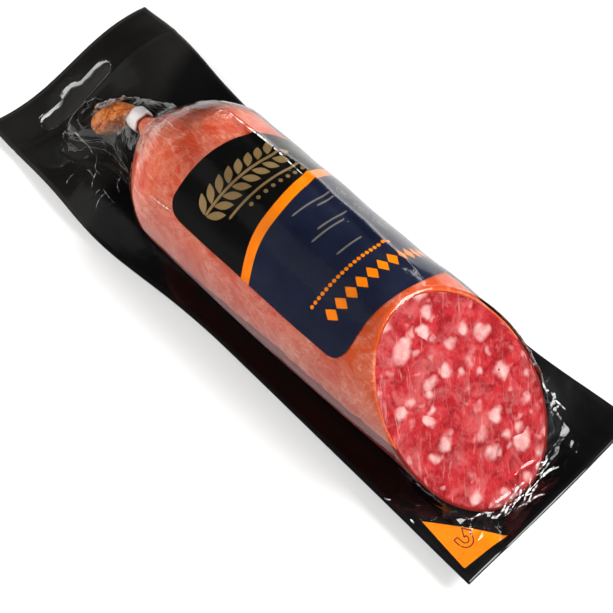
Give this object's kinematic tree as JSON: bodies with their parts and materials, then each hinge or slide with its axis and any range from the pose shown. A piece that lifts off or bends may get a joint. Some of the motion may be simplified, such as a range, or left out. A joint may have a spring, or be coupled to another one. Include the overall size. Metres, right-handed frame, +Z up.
{
  "type": "dry-cured sausage in a vacuum pack",
  "caption": "Half of a dry-cured sausage, cut at a slant, with its clipped tail, in a vacuum pack: clear film drawn over it on a stiff black bottom web with a hang slot.",
  "frame": {"origin": "under the middle of the pack's box, on the surface that it lies on", "axes": "+X along the pack from the hang slot to the cut end, +Y across it, +Z up"},
  "size_m": [0.2284, 0.0744, 0.0525],
  "materials": {
    "web_film": "glossy black barrier film, a little wavy",
    "clear_film": "clear glossy shrink film with creases at the tail and the cut end",
    "print": "ink on the film: black, dark blue, orange and dull gold, with no lettering",
    "casing": "moist collagen casing, salmon red with pale mottling, gathered at the neck",
    "meat": "coarse dry-cured meat, deep red with pale irregular fat, moist on the cut",
    "clip": "plain aluminium, a little scuffed"
  },
  "bodies": {
    "root": {"base_web": "web_film", "top_film": "clear_film", "casing": "casing", "meat": "meat", "clip": "clip"}
  },
  "joints": []
}
